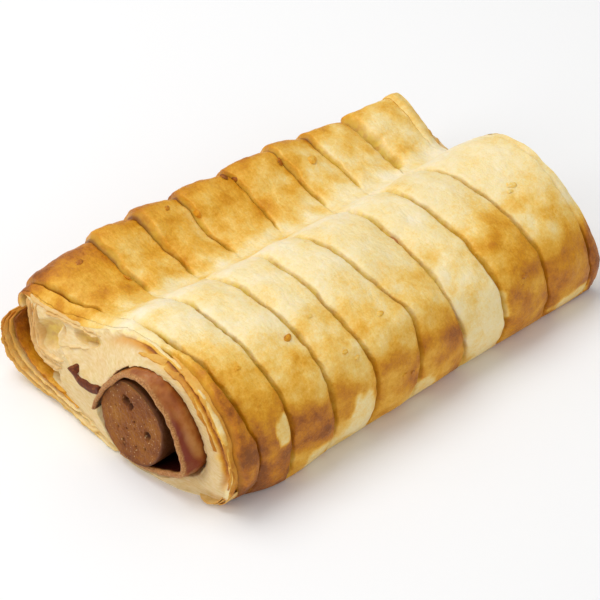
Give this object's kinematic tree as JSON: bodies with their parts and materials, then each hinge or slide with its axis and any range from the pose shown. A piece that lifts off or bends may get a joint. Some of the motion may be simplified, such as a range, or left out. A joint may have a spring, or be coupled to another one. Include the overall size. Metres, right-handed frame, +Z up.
{
  "type": "puff pastry sausage roll",
  "caption": "Baked puff pastry roll with a slashed double hump on a flat base; a sausage wrapped in a slice of ham runs through the front hump.",
  "frame": {"origin": "under the middle of the roll, on the flat base that it rests on", "axes": "+X along the roll, away from the end where the ham's tail shows; +Y towards the hump with no sausage in it; +Z up"},
  "size_m": [0.1515, 0.0945, 0.0382],
  "materials": {
    "baked_dough": "golden baked puff pastry with a thin egg-wash sheen, pale in the slashes and brown on the ridges",
    "ham": "moist cured meat, baked dark at its edges",
    "sausage_meat": "fine-ground cooked meat with pores on the cut face and a smooth skin"
  },
  "bodies": {
    "root": {"pastry": "baked_dough", "ham_slice": "ham", "sausage": "sausage_meat"}
  },
  "joints": []
}
